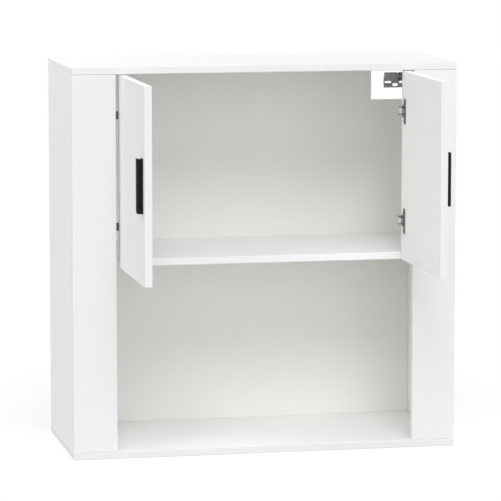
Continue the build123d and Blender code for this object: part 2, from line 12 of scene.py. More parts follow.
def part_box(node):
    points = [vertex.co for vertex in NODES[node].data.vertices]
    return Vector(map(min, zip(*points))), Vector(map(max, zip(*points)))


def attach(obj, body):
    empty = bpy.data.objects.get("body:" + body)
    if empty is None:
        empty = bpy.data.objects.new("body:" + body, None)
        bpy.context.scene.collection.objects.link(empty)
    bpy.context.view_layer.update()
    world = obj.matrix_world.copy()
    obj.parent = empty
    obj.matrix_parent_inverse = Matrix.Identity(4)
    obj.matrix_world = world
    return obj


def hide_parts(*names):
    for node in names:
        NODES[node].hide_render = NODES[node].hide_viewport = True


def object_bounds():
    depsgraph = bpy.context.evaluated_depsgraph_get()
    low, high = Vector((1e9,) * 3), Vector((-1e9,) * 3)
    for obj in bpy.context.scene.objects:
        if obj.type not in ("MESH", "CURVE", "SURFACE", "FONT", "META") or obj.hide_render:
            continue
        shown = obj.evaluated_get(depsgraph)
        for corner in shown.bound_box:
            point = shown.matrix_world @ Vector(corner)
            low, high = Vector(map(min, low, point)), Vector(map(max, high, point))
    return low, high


bl_info = {
    "name": "Hanging wall cabinet",
    "version": (1, 0, 0),
    "blender": (4, 5, 0),
    "location": "View3D > Sidebar > Cabinet",
    "description": "Finishes and fittings of a wall cabinet with two inset doors",
    "category": "Object",
}

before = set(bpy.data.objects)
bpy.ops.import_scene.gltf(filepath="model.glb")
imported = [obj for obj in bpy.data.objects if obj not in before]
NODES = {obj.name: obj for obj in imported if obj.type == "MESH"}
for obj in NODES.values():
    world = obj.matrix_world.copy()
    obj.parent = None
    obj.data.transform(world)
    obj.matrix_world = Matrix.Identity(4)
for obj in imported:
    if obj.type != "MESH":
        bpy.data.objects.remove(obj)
CAD_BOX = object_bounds()
SIDES = ("left", "right")
LEVELS = ("upper", "lower")
AXES = ("X", "Y", "Z")
MM = 0.001
MIX_A, MIX_B, MIX_RESULT = 6, 7, 2      # a Mix node's colour sockets
WHITE = (1.0, 1.0, 1.0, 1.0)
# The foil is one colour; a share below 1 is painted shade, a share above 1 painted light (the
# shelf's lightened edge band).
BOARD_TONES = {     # painted light and shade: tone of the foil, the edge bands and the end faces, as shares of their colours
    "top_board": (0.90, 0.97, 1.0),
    "bottom_board": (1.0, 0.96, 0.85),
    "shelf": (1.0, 1.12, 1.0),
}
SIDE_TONE = 0.92        # painted shade on the outer faces of the side panels and stiles
DOOR_TONE = 0.935       # painted shade on the outer faces of the doors
JOINT_SHADE = 0.7       # painted shade line under the top board
JOINT_GLEAM = 1.0       # painted highlight line over the bottom board
WEAR = 0.25             # how dull the worn spots of plated steel are
PAINTED_SHADE_TONE = 0.22          # what is left of the plating's colour where shade is painted on it
WOOD_SCREW = (1.6 * MM, 1.4 * MM)       # radius of the shank and height of the head
ARM_SCREW = (1.9 * MM, 1.4 * MM)
HANDLE_SCREW = (2.0 * MM, 2.4 * MM)
NAIL = (0.8 * MM, 0.8 * MM)
FLOOR_GAP = 0.2 * MM    # keeps the floor's face clear of the underside's
LAMP_COLOUR = (0.972, 0.982, 1.0)
LAMPS = {   # azimuth, elevation and spread in degrees, and level
    "key_lamp": (-8.0, 45.0, 26.0, 0.40),
    "high_lamp": (10.0, 66.0, 26.0, 0.093),
    "front_lamp": (4.0, 8.0, 30.0, 0.108),
    "left_lamp": (-75.0, 36.0, 40.0, 0.215),
    "left_low_lamp": (-50.0, 15.0, 30.0, 0.09),
    "right_lamp": (80.0, 13.0, 40.0, 0.476),
    "back_lamp": (180.0, 3.0, 14.0, 0.30),
}


# ---------------------------------------------------------------- settings
class CabinetColours(bpy.types.PropertyGroup):
    """Colours of the cabinet's finishes."""

    board: bpy.props.FloatVectorProperty(
        name="Boards", description="Melamine foil of the boards and doors",
        subtype="COLOR", default=(0.95, 0.95, 0.93), min=0.0, max=1.0)
    # Painted shade: a darker copy of the boards' foil, for the fixed front panels and the boards'
    # edge bands.
    front: bpy.props.FloatVectorProperty(
        name="Fronts",
        description="Foil of the fixed front panels, and the bands on the boards' edges",
        subtype="COLOR", default=(0.785, 0.785, 0.778), min=0.0, max=1.0)
    back: bpy.props.FloatVectorProperty(
        name="Back panel", description="Lacquer on the inside of the back panel",
        subtype="COLOR", default=(0.932, 0.926, 0.888), min=0.0, max=1.0)
    fibre: bpy.props.FloatVectorProperty(
        name="Fibreboard", description="Bare reverse of the back panel",
        subtype="COLOR", default=(0.36, 0.235, 0.135), min=0.0, max=1.0)
    # Painted shade: the cups, their flanges and screws take a darker copy of the nickel that the
    # arms have.
    cup: bpy.props.FloatVectorProperty(
        name="Hinge cups", description="Dull nickel of the hinge cups and their flanges",
        subtype="COLOR", default=(0.235, 0.234, 0.229), min=0.0, max=1.0)
    # Painted light: the arms, mounting plates and pins take a lighter copy of the nickel that the
    # cups have.
    arm: bpy.props.FloatVectorProperty(
        name="Hinge arms", description="Bright nickel of the hinge arms and mounting plates",
        subtype="COLOR", default=(0.74, 0.735, 0.72), min=0.0, max=1.0)
    zinc: bpy.props.FloatVectorProperty(
        name="Zinc", description="Plating of screws and nails",
        subtype="COLOR", default=(0.62, 0.63, 0.64), min=0.0, max=1.0)
    hanger: bpy.props.FloatVectorProperty(
        name="Wall plates", description="Galvanised sheet of the wall plates",
        subtype="COLOR", default=(0.38, 0.383, 0.39), min=0.0, max=1.0)
    hook: bpy.props.FloatVectorProperty(
        name="Hooks", description="Darker sheet of the hangers' hooks",
        subtype="COLOR", default=(0.17, 0.172, 0.176), min=0.0, max=1.0)
    handle: bpy.props.FloatVectorProperty(
        name="Handles", description="Matt black coat of the handles",
        subtype="COLOR", default=(0.0115, 0.012, 0.0125), min=0.0, max=1.0)
    plastic: bpy.props.FloatVectorProperty(
        name="Caps", description="Moulded covers of cams and screws",
        subtype="COLOR", default=(0.86, 0.86, 0.84), min=0.0, max=1.0)
    casting: bpy.props.FloatVectorProperty(
        name="Castings", description="Die-cast cams",
        subtype="COLOR", default=(0.50, 0.50, 0.51), min=0.0, max=1.0)
    beech: bpy.props.FloatVectorProperty(
        name="Dowels", description="Beech wood of the dowels",
        subtype="COLOR", default=(0.62, 0.42, 0.24), min=0.0, max=1.0)


class CabinetSizes(bpy.types.PropertyGroup):
    """Sizes of the details that the solid model leaves out."""

    band: bpy.props.FloatProperty(
        name="Edge band", description="Thickness of the bands glued to the boards' edges",
        default=2.0 * MM, unit="LENGTH")
    seam: bpy.props.FloatProperty(
        name="Seam", description="Width of the fine line between band and foil",
        default=0.22 * MM, unit="LENGTH")
    joint: bpy.props.FloatProperty(
        name="Joint line", description="Height of the line where a board's end meets another board",
        default=0.9 * MM, unit="LENGTH")
    sheet_round: bpy.props.FloatProperty(
        name="Sheet edge", description="Rounding of the pressed steel's edges",
        default=0.3 * MM, unit="LENGTH")
    handle_round: bpy.props.FloatProperty(
        name="Handle edge", description="Rounding of the handle's sharp edges",
        default=0.25 * MM, unit="LENGTH")
    thread_pitch: bpy.props.FloatProperty(
        name="Thread pitch", description="Distance between the turns of a screw's thread",
        default=1.25 * MM, unit="LENGTH")
    thread_depth: bpy.props.FloatProperty(
        name="Thread depth", description="Depth of a screw's thread",
        default=0.35 * MM, unit="LENGTH")
    recess_width: bpy.props.FloatProperty(
        name="Recess width", description="Width of one arm of the screwdriver recess",
        default=0.8 * MM, unit="LENGTH")
    flutes: bpy.props.IntProperty(
        name="Flutes", description="Grooves round each dowel", default=16, min=6)
    flute_depth: bpy.props.FloatProperty(
        name="Flute depth", description="Depth of a dowel's grooves",
        default=0.35 * MM, unit="LENGTH")
    cap_crown: bpy.props.FloatProperty(
        name="Cap crown", description="Rise of a cover's rounded rim",
        default=0.35 * MM, unit="LENGTH")


class CabinetStudio(bpy.types.PropertyGroup):
    """Floor, lamps and camera."""

    camera_at: bpy.props.FloatVectorProperty(
        name="Camera", description="Place of the camera", subtype="TRANSLATION",
        default=(-1.3421, -6.5864, 0.8523), unit="LENGTH")
    camera_yaw: bpy.props.FloatProperty(
        name="Yaw", description="Camera's turn to the right of the wall's normal",
        default=math.radians(11.815), unit="ROTATION")
    camera_pitch: bpy.props.FloatProperty(
        name="Pitch", description="Camera's dip below the horizon",
        default=math.radians(7.408), unit="ROTATION")
    lens: bpy.props.FloatProperty(
        name="Lens", description="Focal length in millimetres", default=226.9)
    floor_size: bpy.props.FloatProperty(
        name="Floor", description="Side of the square floor", default=60.0, unit="LENGTH")
    floor_tone: bpy.props.FloatVectorProperty(
        name="Floor tone", description="How much light the floor throws back at the object",
        subtype="COLOR", default=(0.65, 0.65, 0.65), min=0.0, max=1.0)
    sky: bpy.props.FloatProperty(
        name="Sky", description="Strength of the even light all round", default=0.41)
    shadow: bpy.props.FloatProperty(
        name="Shadow", description="How much of the object's shadow the floor shows", default=0.3)
    shadow_reach: bpy.props.FloatProperty(
        name="Shadow reach", description="Distance at which the shadow has faded out",
        default=1.4, unit="LENGTH")


# ---------------------------------------------------------------- node helpers
class Socket:
    """A node's output that arithmetic can be used on; each operation adds a Math node."""

    def __init__(self, trees, socket):
        self.trees = trees
        self.socket = socket

    def math(self, operation, *others):
        values = dict(enumerate((self, *others)))
        return self.trees.node("ShaderNodeMath", {"operation": operation}, values)

    def __add__(self, other):
        return self.math("ADD", other)

    def __sub__(self, other):
        return self.math("SUBTRACT", other)

    def __rsub__(self, other):
        return self.trees.node("ShaderNodeMath", {"operation": "SUBTRACT"}, {0: other, 1: self})

    def __mul__(self, other):
        return self.math("MULTIPLY", other)

    def __truediv__(self, other):
        return self.math("DIVIDE", other)

    def __abs__(self):
        return self.math("ABSOLUTE")

    def min(self, other):
        return self.math("MINIMUM", other)

    def max(self, other):
        return self.math("MAXIMUM", other)

    def step(self, low, high):
        """Smooth rise from 0 at low to 1 at high."""
        settings = {"interpolation_type": "SMOOTHSTEP"}
        limits = {"Value": self, "From Min": low, "From Max": high}
        return self.trees.node("ShaderNodeMapRange", settings, limits)

    __radd__ = __add__
    __rmul__ = __mul__


class Tree:
    """A node tree under construction. One method makes every node."""

    def __init__(self, tree):
        self.tree = tree
        self.tree.nodes.clear()

    def node(self, kind, settings=None, inputs=None, output=0):
        made = self.tree.nodes.new(kind)
        for key, value in (settings or {}).items():
            if key == "stops":
                self.set_stops(made.color_ramp, value)
            else:
                setattr(made, key, value)
        for key, value in (inputs or {}).items():
            for single in value if isinstance(value, list) else [value]:
                if isinstance(single, Socket):
                    self.tree.links.new(single.socket, made.inputs[key])
                else:
                    made.inputs[key].default_value = single
        return Socket(self, made.outputs[output]) if len(made.outputs) else made

    def set_stops(self, ramp, stops):
        while len(ramp.elements) < len(stops):
            ramp.elements.new(0.5)
        for element, (position, colour) in zip(ramp.elements, stops):
            element.position = position
            element.color = (*colour, 1.0)

    def other(self, socket, output):
        """Another output of the node that made a socket."""
        return Socket(self, socket.socket.node.outputs[output])


class Finish(Tree):
    """A material: object coordinates in, one principled shader out."""

    def __init__(self, name):
        self.material = bpy.data.materials.new(name)
        self.material.use_nodes = True
        super().__init__(self.material.node_tree)
        self.place = self.node("ShaderNodeTexCoord", output="Object")
        self.split = self.node("ShaderNodeSeparateXYZ", inputs={"Vector": self.place})

    def axis(self, letter):
        return self.other(self.split, letter)

    def stretched(self, scale):
        """Object coordinates scaled by a different amount on each axis."""
        return self.node("ShaderNodeMapping", inputs={"Vector": self.place, "Scale": scale})

    def noise(self, scale, detail=2.0, roughness=0.5, vector=None):
        inputs = {"Vector": vector or self.place, "Scale": scale, "Detail": detail,
                  "Roughness": roughness}
        return self.node("ShaderNodeTexNoise", inputs=inputs)

    def mix(self, factor, first, second):
        """Blend two colours, each a socket or three numbers."""
        ends = [colour if isinstance(colour, Socket) else (*colour, 1.0)
                for colour in (first, second)]
        inputs = {0: factor, MIX_A: ends[0], MIX_B: ends[1]}
        return self.node("ShaderNodeMix", {"data_type": "RGBA"}, inputs, output=MIX_RESULT)

    def bump(self, height, distance, strength=1.0, normal=None):
        inputs = {"Height": height, "Distance": distance, "Strength": strength}
        if normal:
            inputs["Normal"] = normal
        return self.node("ShaderNodeBump", inputs=inputs)

    def done(self, **inputs):
        """Close the material with its shader; underscores in the names stand for spaces."""
        named = {key.replace("_", " "): value for key, value in inputs.items()}
        shader = self.node("ShaderNodeBsdfPrincipled", inputs=named)
        self.node("ShaderNodeOutputMaterial", inputs={"Surface": shader})
        return self.material


class Growth(Tree):
    """A geometry tree with named inputs, ending in realised instances and a material."""

    def __init__(self, name, **inputs):
        group = bpy.data.node_groups.new(name, "GeometryNodeTree")
        super().__init__(group)
        group.interface.new_socket("Geometry", in_out="INPUT", socket_type="NodeSocketGeometry")
        group.interface.new_socket("Geometry", in_out="OUTPUT", socket_type="NodeSocketGeometry")
        self.values = inputs
        self.sockets = {}
        for key, value in inputs.items():
            kind = "NodeSocketInt" if isinstance(value, int) else "NodeSocketFloat"
            self.sockets[key] = group.interface.new_socket(
                key.replace("_", " ").title(), in_out="INPUT", socket_type=kind)
        self.source = self.node("NodeGroupInput")

    def given(self, key):
        return self.other(self.source, self.sockets[key].name)

    def cylinder(self, radius, depth, sides, low):
        """A closed cylinder that stands on the height `low`."""
        inputs = {"Vertices": sides, "Radius": radius, "Depth": depth}
        body = self.node("GeometryNodeMeshCylinder", inputs=inputs)
        return self.moved(body, z=depth * 0.5 + low)

    def box(self, x, y, z, low):
        size = self.node("ShaderNodeCombineXYZ", inputs={"X": x, "Y": y, "Z": z})
        body = self.node("GeometryNodeMeshCube", inputs={"Size": size})
        return self.moved(body, z=z * 0.5 + low)

    def moved(self, body, z):
        offset = self.node("ShaderNodeCombineXYZ", inputs={"Z": z})
        return self.node("GeometryNodeTransform", inputs={"Geometry": body, "Translation": offset})

    def join(self, *parts):
        return self.node("GeometryNodeJoinGeometry", inputs={"Geometry": list(parts)})

    def cut(self, body, *cutters):
        """Take the cutters, made one closed shape first, away from a body."""
        union = {"solver": "EXACT", "operation": "UNION"}
        cutter = self.node("GeometryNodeMeshBoolean", union, {"Mesh 2": list(cutters)})
        difference = {"solver": "EXACT", "operation": "DIFFERENCE"}
        return self.node("GeometryNodeMeshBoolean", difference, {"Mesh 1": body, "Mesh 2": cutter})

    def stud(self, radius, depth, narrowing, sides, low):
        """A flat round head whose upper third narrows, as one closed shape."""
        inputs = {"Vertices": sides, "Radius": radius, "Depth": depth, "Side Segments": 3}
        body = self.node("GeometryNodeMeshCylinder", inputs=inputs)
        place = self.node("GeometryNodeInputPosition")
        parts = self.node("ShaderNodeSeparateXYZ", inputs={"Vector": place})
        x, y, z = (self.other(parts, letter) for letter in AXES)
        top = (z / depth).step(0.2, 0.45)
        factor = 1.0 - top * (1.0 - narrowing)
        shaped = self.node("ShaderNodeCombineXYZ",
                           inputs={"X": x * factor, "Y": y * factor, "Z": z})
        body = self.node("GeometryNodeSetPosition", inputs={"Geometry": body, "Position": shaped})
        return self.moved(body, z=depth * 0.5 + low)

    def grow(self, part, points, material, name):
        """Put the part on every point, turned to its direction, and return the plain piece."""
        direction = self.node("GeometryNodeInputNamedAttribute", {"data_type": "FLOAT_VECTOR"},
                              {"Name": "direction"})
        turn = self.node("FunctionNodeAlignRotationToVector", {"axis": "Z"}, {"Vector": direction})
        placed = self.node("GeometryNodeInstanceOnPoints",
                           inputs={"Points": self.source, "Instance": part, "Rotation": turn})
        real = self.node("GeometryNodeRealizeInstances", inputs={"Geometry": placed})
        dressed = self.node("GeometryNodeSetMaterial",
                            inputs={"Geometry": real, "Material": material})
        self.node("NodeGroupOutput", inputs={0: dressed})
        piece = point_cloud(name, points)
        modifier = piece.modifiers.new("grow", "NODES")
        modifier.node_group = self.tree
        for key, value in self.values.items():
            modifier[self.sockets[key].identifier] = value
        return plain(piece)


# ---------------------------------------------------------------- mesh helpers
def new_piece(name, mesh):
    piece = bpy.data.objects.new(name, mesh)
    bpy.context.scene.collection.objects.link(piece)
    return piece


def point_cloud(name, points):
    """A mesh of loose points, each with a direction."""
    mesh = bpy.data.meshes.new(name)
    mesh.from_pydata([place for place, _ in points], [], [])
    attribute = mesh.attributes.new("direction", "FLOAT_VECTOR", "POINT")
    attribute.data.foreach_set("vector", [v for _, direction in points for v in direction])
    return new_piece(name, mesh)


def plain(piece, smooth_angle=math.radians(32)):
    """Apply a piece's modifiers to its mesh, and smooth all but its sharp edges."""
    graph = bpy.context.evaluated_depsgraph_get()
    graph.update()
    mesh = bpy.data.meshes.new_from_object(piece.evaluated_get(graph))
    piece.modifiers.clear()
    piece.data = mesh
    mesh.shade_smooth()
    mesh.set_sharp_from_angle(angle=smooth_angle)
    return piece


def islands(node):
    """The boxes of a node's separate solids, as (lowest, highest, vertex places)."""
    mesh = bmesh.new()
    mesh.from_mesh(NODES[node].data)
    bmesh.ops.remove_doubles(mesh, verts=mesh.verts, dist=1e-6)
    mesh.verts.ensure_lookup_table()
    seen = set()
    found = []
    for start in mesh.verts:
        if start.index in seen:
            continue
        stack = [start]
        seen.add(start.index)
        places = []
        while stack:
            vertex = stack.pop()
            places.append(vertex.co.copy())
            for edge in vertex.link_edges:
                other = edge.other_vert(vertex)
                if other.index not in seen:
                    seen.add(other.index)
                    stack.append(other)
        low = Vector([min(p[a] for p in places) for a in range(3)])
        high = Vector([max(p[a] for p in places) for a in range(3)])
        found.append((low, high, places))
    mesh.free()
    return found


def long_pieces(node):
    """Tip end and direction towards the wider end of each long round solid of a node."""
    points = []
    for low, high, places in islands(node):
        size = high - low
        axis = max(range(3), key=lambda a: size[a])
        middle = (low + high) / 2
        ends = {}
        for end in (low[axis], high[axis]):
            near = [p for p in places if abs(p[axis] - end) < size[axis] * 0.05]
            ends[end] = max((Vector(p) - middle).length for p in near)
        wide = max(ends, key=ends.get)
        tip = middle.copy()
        tip[axis] = low[axis] if wide == high[axis] else high[axis]
        direction = Vector((0, 0, 0))
        direction[axis] = 1.0 if wide == high[axis] else -1.0
        points.append((tip, direction))
    return points


def flat_pieces(node):
    """Seat and outward direction of each disc: towards the middle of the cabinet, or down."""
    points = []
    for low, high, _ in islands(node):
        size = high - low
        axis = min(range(3), key=lambda a: size[a])
        middle = (low + high) / 2
        direction = Vector((0, 0, 0))
        direction[axis] = -1.0 if AXES[axis] == "Z" else -math.copysign(1.0, middle[axis])
        seat = middle - direction * size[axis] / 2
        points.append((seat, direction))
    return points


def first_size(node):
    """Length and greatest width of a node's first solid."""
    low, high, _ = islands(node)[0]
    size = sorted(high - low)
    return size[2], size[1], size[0]


def softened(node, name, width, segments=2):
    """A copy of a node's shape whose sharp edges are rounded."""
    mesh = bpy.data.meshes.new(name)
    work = bmesh.new()
    work.from_mesh(NODES[node].data)
    bmesh.ops.remove_doubles(work, verts=work.verts, dist=2e-6)
    bmesh.ops.dissolve_limit(work, angle_limit=math.radians(1.0), verts=work.verts,
                             edges=work.edges)
    work.to_mesh(mesh)
    work.free()
    for layer in [a for a in mesh.attributes if a.name == "custom_normal"]:
        mesh.attributes.remove(layer)
    piece = new_piece(name, mesh)
    bevel = piece.modifiers.new("edges", "BEVEL")
    bevel.width = width
    bevel.segments = segments
    bevel.limit_method = "ANGLE"
    bevel.angle_limit = math.radians(40)
    bevel.use_clamp_overlap = True
    return plain(piece)


def dress(node, material):
    """Give a node of the solid model its finish."""
    slots = NODES[node].material_slots
    for slot in slots:
        slot.material = material


def replace(piece, body, slot, *nodes, material=None):
    if material:
        piece.data.materials.clear()
        piece.data.materials.append(material)
    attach(piece, body)
    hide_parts(*nodes)
    return piece


# ---------------------------------------------------------------- finishes
def melamine_board(node, foil, band_tone=1.0, outside=1.0, joints=False):
    """White melamine foil with a faint ripple, and a fine seam beside front and rear edge bands.

    Outside is the painted shade on the side that faces away from the cabinet. The faces and bands
    at front and rear take the front colour, a darker copy of the foil, as painted shade, scaled by
    band_tone. Joints draws the painted shade line where the board's upper end meets the board on
    it, and the painted highlight line where it stands on another.
    """
    front = [c * band_tone for c in bpy.context.scene.cabinet_colours.front]
    sizes = bpy.context.scene.cabinet_sizes
    finish = Finish(f"white_melamine_{node}")
    low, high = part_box(node)
    edge = (high.y - low.y) / 2 - abs(finish.axis("Y") - (high.y + low.y) / 2)
    cloud = finish.noise(5.0, detail=3.0)
    ripple = finish.noise(260.0, detail=1.0)
    grain = finish.noise(1400.0, detail=1.0)
    tone = finish.mix(cloud.step(0.3, 0.7), [c * 0.992 for c in foil], foil)
    # Painted shade on the side that faces away from the cabinet.
    if outside != 1.0:
        reach = max(abs(low.x), abs(high.x))
        away = abs(finish.axis("X")).step(reach - 0.4 * MM, reach - 0.2 * MM)
        tone = finish.mix(away, tone, [c * outside for c in foil])
    height = ripple * 0.6 + grain * 0.4
    rough = cloud * 0.05 + grain * 0.06 + 0.38
    seam = 1.0 - abs(edge - sizes.band).step(0.0, sizes.seam)
    band = 1.0 - edge.step(sizes.band - sizes.seam, sizes.band)
    # Painted shade: the faces and bands at front and rear take the darker front colour.
    tone = finish.mix(band, tone, front)
    tone = finish.mix(seam * 0.5, tone, [c * 0.75 for c in front])
    rough = rough + band * 0.05 + seam * 0.2
    height = height - seam * 2.0
    if joints:
        # Painted shade line under the board above, painted highlight line over the board below.
        for end, shade in ((high.z, JOINT_SHADE), (low.z, JOINT_GLEAM)):
            line = 1.0 - abs(finish.axis("Z") - end).step(sizes.joint * 0.7, sizes.joint)
            tone = finish.mix(line, tone, [c * shade for c in foil])
    normal = finish.bump(height, 0.00002, strength=0.5)
    return finish.done(Base_Color=tone, Roughness=rough, Normal=normal,
                       Specular_IOR_Level=0.3, IOR=1.5)


def back_board(node):
    """Lacquered on the side that faces the cabinet and over its cut edges, bare on the reverse."""
    colours = bpy.context.scene.cabinet_colours
    finish = Finish("lacquered_back_board")
    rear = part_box(node)[1].y
    reverse = finish.axis("Y").step(rear - 0.7 * MM, rear - 0.4 * MM)
    strands = finish.noise(240.0, detail=6.0, roughness=0.7,
                           vector=finish.stretched((1.0, 1.0, 0.5)))
    specks = finish.noise(900.0, detail=3.0, roughness=0.7)
    cloud = finish.noise(4.0, detail=2.0)
    dark = [c * 0.8 for c in colours.fibre]
    light = [min(1.0, c * 1.2) for c in colours.fibre]
    fibre = finish.mix(strands.step(0.35, 0.68), dark, light)
    fibre = finish.mix(specks.step(0.58, 0.72) * 0.6, fibre, dark)
    fibre = finish.mix(specks.step(0.28, 0.4), light, fibre)
    lacquer = finish.mix(cloud.step(0.3, 0.7), [c * 0.99 for c in colours.back], colours.back)
    pebble = finish.noise(700.0, detail=2.0)
    tone = finish.mix(reverse, lacquer, fibre)
    rough = 0.46 + pebble * 0.08 + reverse * 0.3
    normal = finish.bump(pebble * 0.5 + specks * reverse, 0.00006, strength=0.5)
    return finish.done(Base_Color=tone, Roughness=rough, Normal=normal,
                       Specular_IOR_Level=0.3, IOR=1.5)


def plated(name, colour, roughness, metal=1.0, painted_shade=None):
    """Plated steel: fine marks, cloudy sheen and slightly dull worn spots.

    Painted shade is a function that takes the finish and gives the mask of where shade is painted.
    """
    finish = Finish(name)
    cloud = finish.noise(120.0, detail=3.0)
    marks = finish.noise(2600.0, detail=2.0)
    spots = finish.noise(420.0, detail=4.0, roughness=0.65).step(0.56, 0.72)
    tone = finish.mix(cloud.step(0.3, 0.7), [c * 0.86 for c in colour], colour)
    tone = finish.mix(spots * WEAR, tone, [c * 0.6 for c in colour])
    # Painted shade: darken the colour under the mask.
    if painted_shade:
        tone = finish.mix(painted_shade(finish), tone, [c * PAINTED_SHADE_TONE for c in colour])
    rough = roughness + cloud * 0.10 + marks * 0.08 + spots * WEAR * 0.5
    normal = finish.bump(marks + spots * 0.5, 0.00002, strength=0.6)
    return finish.done(Base_Color=tone, Metallic=metal, Roughness=rough, Normal=normal)


def hinge_cup_nickel(node, door):
    """Nickel painted darker than the arms' as shade, and darker still inside the cup, away from the
    light, as painted shade.
    """
    face = min(abs(corner.x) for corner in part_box(door))
    # Painted shade inside the cup's recess, deeper than the door's face.
    return plated(f"{node}_nickel", bpy.context.scene.cabinet_colours.cup, 0.24,
                  painted_shade=lambda finish: abs(finish.axis("X")).step(face, face + 2.5 * MM))


def hinge_arm_nickel(node, door):
    """Nickel painted lighter than the cups' as light, with painted shade along the arm's folded
    edges and in the gap between door and stile.
    """
    low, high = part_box(node)
    middle, half = (low.z + high.z) / 2, (high.z - low.z) / 2
    edge = max(abs(corner.x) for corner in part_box(door))

    # Painted shade: along the folded edges, and where the arm lies in the gap between door and
    # stile.
    def shade(finish):
        folds = abs(finish.axis("Z") - middle).step(half * 0.55, half * 0.8) * 0.85
        reach = abs(finish.axis("X"))
        past_door = reach.step(edge - 4.0 * MM, edge - 1.0 * MM)
        past_gap = reach.step(edge + 8.0 * MM, edge + 13.0 * MM)
        return folds.max(past_door * (1.0 - past_gap))

    # Painted light: the arms' lighter nickel colour.
    colour = bpy.context.scene.cabinet_colours.arm
    return plated(f"{node}_nickel", colour, 0.36, metal=0.45, painted_shade=shade)


def galvanised(name, colour):
    """Zinc-dipped sheet: crystal flakes of slightly different tone and sheen."""
    finish = Finish(name)
    flakes = finish.node("ShaderNodeTexVoronoi", {"feature": "F1"},
                         {"Vector": finish.place, "Scale": 420.0, "Randomness": 1.0},
                         output="Color")
    parts = finish.node("ShaderNodeSeparateColor", inputs={"Color": flakes})
    cloud = finish.noise(90.0, detail=3.0)
    marks = finish.noise(2200.0, detail=2.0)
    tone = finish.mix(parts, [c * 0.9 for c in colour], [min(1.0, c * 1.08) for c in colour])
    tone = finish.mix(cloud.step(0.35, 0.75) * 0.4, tone, [c * 0.82 for c in colour])
    rough = 0.36 + finish.other(parts, "Green") * 0.14 + marks * 0.06
    normal = finish.bump(marks, 0.00002, strength=0.5)
    return finish.done(Base_Color=tone, Metallic=1.0, Roughness=rough, Normal=normal)


def powder_coat(name, colour):
    """Matt black coat with a fine grain, and a breath of wear."""
    finish = Finish(name)
    grain = finish.noise(2400.0, detail=2.0, roughness=0.6)
    cloud = finish.noise(60.0, detail=2.0)
    tone = finish.mix(cloud.step(0.35, 0.7), colour, [c * 1.5 for c in colour])
    tone = finish.mix(grain.step(0.62, 0.75) * 0.5, tone, [c * 2.6 for c in colour])
    rough = 0.52 + grain * 0.16
    normal = finish.bump(grain, 0.00004, strength=0.6)
    return finish.done(Base_Color=tone, Roughness=rough, Normal=normal, Specular_IOR_Level=0.05,
                       IOR=1.45)


def moulded(name, colour):
    """Moulded plastic: even colour, a fine spark-eroded skin."""
    finish = Finish(name)
    skin = finish.noise(1800.0, detail=2.0)
    cloud = finish.noise(150.0, detail=2.0)
    tone = finish.mix(cloud.step(0.3, 0.7), [c * 0.98 for c in colour], colour)
    rough = 0.34 + skin * 0.12
    normal = finish.bump(skin, 0.00003, strength=0.5)
    return finish.done(Base_Color=tone, Roughness=rough, Normal=normal, IOR=1.48)


def beech_wood(name, colour):
    """Pale wood with short dark rays."""
    finish = Finish(name)
    rays = finish.noise(900.0, detail=3.0, vector=finish.stretched((1.0, 0.25, 0.25)))
    cloud = finish.noise(80.0, detail=3.0)
    tone = finish.mix(cloud.step(0.3, 0.7), [c * 0.86 for c in colour], colour)
    tone = finish.mix(rays.step(0.56, 0.68) * 0.6, tone, [c * 0.55 for c in colour])
    normal = finish.bump(rays, 0.00008, strength=0.6)
    return finish.done(Base_Color=tone, Roughness=0.55 + rays * 0.15, Normal=normal)


# ---------------------------------------------------------------- grown fittings
def grow_screws(name, nodes, body, material, slot, sizes):
    """Cross-head screws with a cut thread, one for each solid of the nodes."""
    length, head_width, _ = first_size(nodes[0])
    shank, head_height = sizes
    settings = bpy.context.scene.cabinet_sizes
    tree = Growth(f"{name}_tree", length=length, head_radius=head_width / 2,
                  head_height=head_height, shank_radius=shank, thread_depth=settings.thread_depth,
                  thread_pitch=settings.thread_pitch, recess_width=settings.recess_width)
    neck = tree.given("length") - tree.given("head_height")
    tip = tree.given("shank_radius") * 1.6
    root = tree.given("shank_radius") - tree.given("thread_depth")
    core = tree.cylinder(root, neck - tip + 0.1 * MM, sides=24, low=tip)
    point = tree.node("GeometryNodeMeshCone", inputs={
        "Vertices": 24, "Radius Top": root, "Radius Bottom": 0.1 * MM, "Depth": tip})
    turns = (neck - tip * 0.5) / tree.given("thread_pitch")
    spiral = tree.node("GeometryNodeCurveSpiral", inputs={
        "Resolution": 20, "Rotations": turns, "Start Radius": root, "End Radius": root,
        "Height": neck - tip * 0.5 - 0.2 * MM})
    profile = tree.node("GeometryNodeCurvePrimitiveCircle", inputs={
        "Resolution": 3, "Radius": tree.given("thread_depth") * 0.95})
    thread = tree.node("GeometryNodeCurveToMesh",
                       inputs={"Curve": spiral, "Profile Curve": profile})
    head = tree.stud(tree.given("head_radius"), tree.given("head_height"), 0.86, sides=40, low=neck)
    wide = tree.given("head_radius") * 1.15
    narrow = tree.given("recess_width")
    deep = tree.given("head_height") * 0.7
    floor = tree.given("length") - deep
    recess = [tree.box(wide, narrow, deep * 2.0, floor), tree.box(narrow, wide, deep * 2.1, floor)]
    part = tree.join(core, point, tree.moved(thread, z=tip * 0.5), tree.cut(head, *recess))
    points = [place for node in nodes for place in long_pieces(node)]
    return replace(tree.grow(part, points, material, name), body, slot, *nodes)


